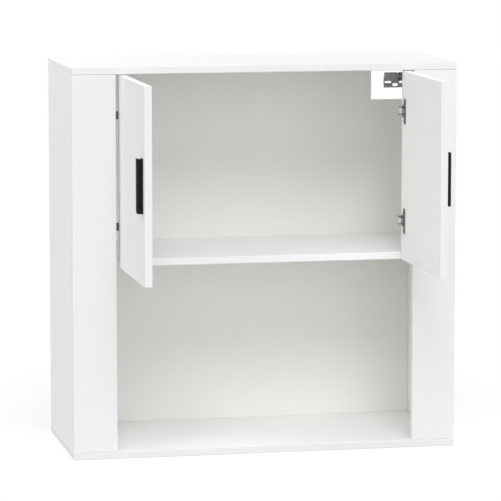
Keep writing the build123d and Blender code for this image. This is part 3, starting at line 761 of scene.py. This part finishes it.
def grow_nails(name, node, body, material, slot, sizes):
    """Panel pins: a flat head whose upper part narrows, and a pointed shank."""
    length, head_width, _ = first_size(node)
    shank, head_height = sizes
    tree = Growth(f"{name}_tree", length=length, head_radius=head_width / 2, shank_radius=shank,
                  head_height=head_height)
    tip = tree.given("shank_radius") * 3.0
    body_length = tree.given("length") - tip - tree.given("head_height") * 0.5
    core = tree.cylinder(tree.given("shank_radius"), body_length, sides=16, low=tip)
    point = tree.node("GeometryNodeMeshCone", inputs={
        "Vertices": 16, "Radius Top": tree.given("shank_radius"), "Radius Bottom": 0.05 * MM,
        "Depth": tip})
    head = tree.stud(tree.given("head_radius"), tree.given("head_height"), 0.8, sides=28,
                     low=tree.given("length") - tree.given("head_height"))
    part = tree.join(core, point, head)
    return replace(tree.grow(part, long_pieces(node), material, name), body, slot, node)


def grow_dowels(name, node, body, material, slot):
    """Wooden dowels with straight flutes and chamfered ends."""
    settings = bpy.context.scene.cabinet_sizes
    length, width, _ = first_size(node)
    tree = Growth(f"{name}_tree", length=length, radius=width / 2, flutes=settings.flutes,
                  flute_depth=settings.flute_depth)
    chamfer = tree.given("radius") * 0.3
    inputs = {"Vertices": 96, "Side Segments": 12, "Radius": tree.given("radius"),
              "Depth": tree.given("length")}
    rod = tree.node("GeometryNodeMeshCylinder", inputs=inputs)
    place = tree.node("GeometryNodeInputPosition")
    parts = tree.node("ShaderNodeSeparateXYZ", inputs={"Vector": place})
    x, y, z = (tree.other(parts, letter) for letter in AXES)
    angle = y.math("ARCTAN2", x)
    wave = (angle * tree.given("flutes")).math("COSINE").max(0.0)
    to_end = tree.given("length") * 0.5 - abs(z)
    end = 1.0 - (to_end / chamfer).min(1.0)
    shrink = (wave * tree.given("flute_depth") + end * chamfer * 0.6) / tree.given("radius")
    factor = 1.0 - shrink
    shaped = tree.node("ShaderNodeCombineXYZ", inputs={"X": x * factor, "Y": y * factor, "Z": z})
    shaped = tree.node("GeometryNodeSetPosition", inputs={"Geometry": rod, "Position": shaped})
    part = tree.moved(shaped, z=tree.given("length") * 0.5)
    return replace(tree.grow(part, long_pieces(node), material, name), body, slot, node)


def grow_caps(name, node, body, material, slot):
    """Thin round covers with a rounded rim."""
    settings = bpy.context.scene.cabinet_sizes
    width, _, thickness = first_size(node)
    tree = Growth(f"{name}_tree", radius=width / 2, thickness=thickness,
                  crown=min(settings.cap_crown, thickness * 0.45))
    inputs = {"Vertices": 64, "Side Segments": 1, "Fill Segments": 8,
              "Radius": tree.given("radius"), "Depth": tree.given("thickness")}
    disc = tree.node("GeometryNodeMeshCylinder", inputs=inputs)
    place = tree.node("GeometryNodeInputPosition")
    parts = tree.node("ShaderNodeSeparateXYZ", inputs={"Vector": place})
    x, y, z = (tree.other(parts, letter) for letter in AXES)
    reach = (x * x + y * y).math("SQRT") / tree.given("radius")
    drop = reach.step(0.80, 1.0) * tree.given("crown")
    top = z.step(0.0, 0.01 * MM)
    shaped = tree.node("ShaderNodeCombineXYZ", inputs={"X": x, "Y": y, "Z": z - drop * top})
    shaped = tree.node("GeometryNodeSetPosition", inputs={"Geometry": disc, "Position": shaped})
    part = tree.moved(shaped, z=tree.given("thickness") * 0.5)
    return replace(tree.grow(part, flat_pieces(node), material, name), body, slot, node)


# ---------------------------------------------------------------- operators
class CABINET_OT_boards(bpy.types.Operator):
    """Foil and edge bands of the carcass boards"""

    bl_idname = "cabinet.boards"
    bl_label = "Carcass boards"

    def execute(self, context):
        colours = context.scene.cabinet_colours
        # Painted light and shade: each board's foil, bands and end faces are scaled by its shares
        # in BOARD_TONES; side panels and stiles get painted shade outside and the joint lines.
        for node, (tone, band_tone, outside) in BOARD_TONES.items():
            foil = [c * tone for c in colours.board]
            dress(node, melamine_board(node, foil, band_tone, outside))
        for side in SIDES:
            for node in (f"{side}_side_panel", f"{side}_stile"):
                dress(node, melamine_board(node, colours.board, outside=SIDE_TONE, joints=True))
        dress("back_panel", back_board("back_panel"))
        return {"FINISHED"}


class CABINET_OT_doors(bpy.types.Operator):
    """Foil and edge bands of the doors"""

    bl_idname = "cabinet.doors"
    bl_label = "Doors"

    def execute(self, context):
        # Painted shade on the doors' outer faces.
        for side in SIDES:
            foil = context.scene.cabinet_colours.board
            dress(f"{side}_door", melamine_board(f"{side}_door", foil, outside=DOOR_TONE))
        return {"FINISHED"}


class CABINET_OT_handles(bpy.types.Operator):
    """Black handles with softened edges, their screws and the white caps over them"""

    bl_idname = "cabinet.handles"
    bl_label = "Handles"

    def execute(self, context):
        colours = context.scene.cabinet_colours
        black = powder_coat("black_powder_coat", colours.handle)
        white = moulded("white_cap_plastic", colours.plastic)
        zinc = plated("handle_screw_zinc", colours.zinc, 0.24)
        width = context.scene.cabinet_sizes.handle_round
        for side in SIDES:
            body = f"{side}_door"
            handle = softened(f"{side}_handle", f"{side}_bar_handle", width)
            replace(handle, body, "black_handle", f"{side}_handle", material=black)
            grow_caps(f"{side}_handle_caps", f"{side}_handle_screw_caps", body, white,
                      "white_plastic")
            grow_screws(f"{side}_handle_fixing_screws", [f"{side}_handle_screws"], body, zinc,
                        "screw_steel", HANDLE_SCREW)
        return {"FINISHED"}


class CABINET_OT_hinges(bpy.types.Operator):
    """Nickel-plated hinge cups, arms and mounting plates with rounded sheet edges"""

    bl_idname = "cabinet.hinges"
    bl_label = "Hinges"

    def execute(self, context):
        colours = context.scene.cabinet_colours
        width = context.scene.cabinet_sizes.sheet_round
        # The plates and pins take the arms' nickel colour, painted lighter as light.
        plate = plated("mounting_plate_nickel", colours.arm, 0.30)
        for side in SIDES:
            for level in LEVELS:
                cup, arm = f"{side}_{level}_hinge_cup", f"{side}_{level}_hinge_arm"
                made = {cup: (f"{side}_door", hinge_cup_nickel(cup, f"{side}_door")),
                        arm: ("carcass", hinge_arm_nickel(arm, f"{side}_door")),
                        f"{side}_{level}_mounting_plate": ("carcass", plate)}
                for node, (body, material) in made.items():
                    piece = softened(node, f"{node}_pressing", width)
                    replace(piece, body, "hinge_steel", node, material=material)
            dress(f"{side}_hinge_pins", plate)
        return {"FINISHED"}


class CABINET_OT_hinge_screws(bpy.types.Operator):
    """Cross-head screws of the hinges"""

    bl_idname = "cabinet.hinge_screws"
    bl_label = "Hinge screws"

    def execute(self, context):
        colours = context.scene.cabinet_colours
        zinc = plated("hinge_screw_zinc", colours.zinc, 0.24)
        # The cup screws take the cups' nickel colour, painted darker as shade.
        nickel = plated("cup_screw_nickel", colours.cup, 0.28)
        for side in SIDES:
            grow_screws(f"{side}_cup_screws", [f"{side}_flange_screws"], f"{side}_door", nickel,
                        "screw_steel", WOOD_SCREW)
        grow_screws("mounting_plate_screws", ["plate_screws"], "carcass", zinc,
                    "screw_steel", WOOD_SCREW)
        grow_screws("hinge_arm_screws", ["arm_screws"], "carcass", zinc, "screw_steel", ARM_SCREW)
        return {"FINISHED"}


class CABINET_OT_hangers(bpy.types.Operator):
    """Galvanised wall plates, hooks and housings, and the screws that set their height"""

    bl_idname = "cabinet.hangers"
    bl_label = "Wall hangers"

    def execute(self, context):
        colours = context.scene.cabinet_colours
        width = context.scene.cabinet_sizes.sheet_round
        sheets = {"hanger_hook": galvanised("galvanised_hook_sheet", colours.hook),
                  "wall_plate": galvanised("galvanised_plate_sheet", colours.hanger)}
        plastic = moulded("hanger_housing_plastic", colours.plastic)
        zinc = plated("hanger_screw_zinc", colours.zinc, 0.28)
        for side in SIDES:
            housing = softened(f"{side}_hanger_housing", f"{side}_hanger_case", width)
            replace(housing, "carcass", "white_plastic", f"{side}_hanger_housing", material=plastic)
            for part, sheet in sheets.items():
                piece = softened(f"{side}_{part}", f"{side}_{part}_sheet", width)
                replace(piece, f"{side}_hanger", "hanger_steel", f"{side}_{part}", material=sheet)
            dress(f"{side}_height_screw", zinc)
        grow_screws("hanger_housing_screws", ["housing_screws"], "carcass", zinc,
                    "screw_steel", WOOD_SCREW)
        return {"FINISHED"}


class CABINET_OT_fittings(bpy.types.Operator):
    """Cams with their bolts and covers, dowels and the back panel's nails"""

    bl_idname = "cabinet.fittings"
    bl_label = "Fittings"

    def execute(self, context):
        colours = context.scene.cabinet_colours
        dress("cam_locks", plated("cam_casting", colours.casting, 0.42))
        dress("cam_bolts", plated("cam_bolt_zinc", colours.zinc, 0.30))
        zinc = plated("nail_zinc", colours.zinc, 0.30)
        plastic = moulded("cam_cover_plastic", colours.plastic)
        grow_caps("cam_cover_caps", "cam_covers", "carcass", plastic, "white_plastic")
        beech = beech_wood("dowel_beech", colours.beech)
        grow_dowels("fluted_dowels", "dowels", "carcass", beech, "beech")
        grow_nails("panel_nails", "back_panel_nails", "carcass", zinc, "screw_steel", NAIL)
        return {"FINISHED"}


class CABINET_OT_stage(bpy.types.Operator):
    """Pale floor, soft lamps and the camera"""

    bl_idname = "cabinet.stage"
    bl_label = "Stage"

    def execute(self, context):
        studio = context.scene.cabinet_studio
        self.floor(studio)
        self.world(context, studio)
        for name, (azimuth, elevation, spread, level) in LAMPS.items():
            self.lamp(name, azimuth, elevation, spread, level)
        self.camera(context, studio)
        context.scene.view_settings.view_transform = "Standard"
        return {"FINISHED"}

    def floor(self, studio):
        half = studio.floor_size / 2
        level = CAD_BOX[0].z - FLOOR_GAP
        mesh = bpy.data.meshes.new("studio_floor")
        corners = [(x * half, y * half, level) for x, y in ((-1, -1), (1, -1), (1, 1), (-1, 1))]
        mesh.from_pydata(corners, [], [(0, 1, 2, 3)])
        floor = new_piece("studio_floor", mesh)
        finish = Finish("studio_floor_white")
        seen = self.seen(finish)
        tone = finish.mix(seen, studio.floor_tone, (1.0, 1.0, 1.0))
        matt = finish.node("ShaderNodeBsdfDiffuse", inputs={"Color": tone})
        glow = finish.node("ShaderNodeEmission", inputs={"Color": WHITE, "Strength": 1.0})
        x, y = finish.axis("X"), finish.axis("Y")
        far = (x * x + y * y).math("SQRT").step(0.5, studio.shadow_reach)
        shade = (1.0 - far) * studio.shadow
        ends = {0: seen * (1.0 - shade), 1: matt, 2: glow}
        mixed = finish.node("ShaderNodeMixShader", inputs=ends)
        finish.node("ShaderNodeOutputMaterial", inputs={"Surface": mixed})
        mesh.materials.append(finish.material)

    def seen(self, tree):
        """1 for what the camera, a reflection or a refraction sees, 0 for light on the object."""
        path = tree.node("ShaderNodeLightPath", output="Is Camera Ray")
        glossy = tree.other(path, "Is Glossy Ray")
        through = tree.other(path, "Is Transmission Ray")
        return path.max(glossy).max(through)

    def world(self, context, studio):
        world = bpy.data.worlds.new("studio_world")
        world.use_nodes = True
        tree = Tree(world.node_tree)
        even = {"Color": (*LAMP_COLOUR, 1.0), "Strength": studio.sky}
        soft = tree.node("ShaderNodeBackground", inputs=even)
        white = tree.node("ShaderNodeBackground", inputs={"Color": WHITE, "Strength": 1.0})
        mixed = tree.node("ShaderNodeMixShader", inputs={0: self.seen(tree), 1: soft, 2: white})
        tree.node("ShaderNodeOutputWorld", inputs={"Surface": mixed})
        context.scene.world = world

    def lamp(self, name, azimuth, elevation, spread, level):
        """A distant soft lamp; azimuth 0 is in front, and at level 1 it alone makes paper white."""
        a = math.radians(azimuth)
        e = math.radians(elevation)
        away = Vector((math.sin(a) * math.cos(e), -math.cos(a) * math.cos(e), math.sin(e)))
        light = bpy.data.lights.new(name, "SUN")
        light.angle = math.radians(spread)
        light.energy = level * math.pi
        light.color = LAMP_COLOUR
        lamp = new_piece(name, light)
        lamp.location = away * 3.0
        lamp.rotation_euler = (-away).to_track_quat("-Z", "Y").to_euler()

    def camera(self, context, studio):
        data = bpy.data.cameras.new("camera")
        data.lens = studio.lens
        camera = new_piece("camera", data)
        upright = Matrix.Rotation(math.radians(90) - studio.camera_pitch, 4, "X")
        turn = Matrix.Rotation(-studio.camera_yaw, 4, "Z")
        camera.matrix_world = Matrix.Translation(studio.camera_at) @ turn @ upright
        context.scene.camera = camera


class CABINET_PT_panel(bpy.types.Panel):
    """Lists the cabinet's steps and settings in the sidebar"""

    bl_idname = "CABINET_PT_panel"
    bl_label = "Wall cabinet"
    bl_space_type = "VIEW_3D"
    bl_region_type = "UI"
    bl_category = "Cabinet"

    def draw(self, context):
        for operator in OPERATORS:
            self.layout.operator(operator.bl_idname)
        for setting in GROUPS:
            group = getattr(context.scene, setting)
            box = self.layout.box()
            for name in group.bl_rna.properties.keys():
                if name not in ("rna_type", "name"):
                    box.prop(group, name)


OPERATORS = (CABINET_OT_boards, CABINET_OT_doors, CABINET_OT_handles, CABINET_OT_hinges,
             CABINET_OT_hinge_screws, CABINET_OT_hangers, CABINET_OT_fittings, CABINET_OT_stage)
GROUPS = {"cabinet_colours": CabinetColours, "cabinet_sizes": CabinetSizes,
          "cabinet_studio": CabinetStudio}


def register():
    for group in GROUPS.values():
        bpy.utils.register_class(group)
    for operator in OPERATORS:
        bpy.utils.register_class(operator)
    bpy.utils.register_class(CABINET_PT_panel)
    for name, group in GROUPS.items():
        setattr(bpy.types.Scene, name, bpy.props.PointerProperty(type=group))


def unregister():
    for name in GROUPS:
        delattr(bpy.types.Scene, name)
    bpy.utils.unregister_class(CABINET_PT_panel)
    for made in (*reversed(OPERATORS), *reversed(GROUPS.values())):
        bpy.utils.unregister_class(made)


def main():
    register()
    bpy.ops.cabinet.boards()
    bpy.ops.cabinet.doors()
    bpy.ops.cabinet.handles()
    bpy.ops.cabinet.hinges()
    bpy.ops.cabinet.hinge_screws()
    bpy.ops.cabinet.hangers()
    bpy.ops.cabinet.fittings()
    bpy.ops.cabinet.stage()


if __name__ == "__main__":
    main()
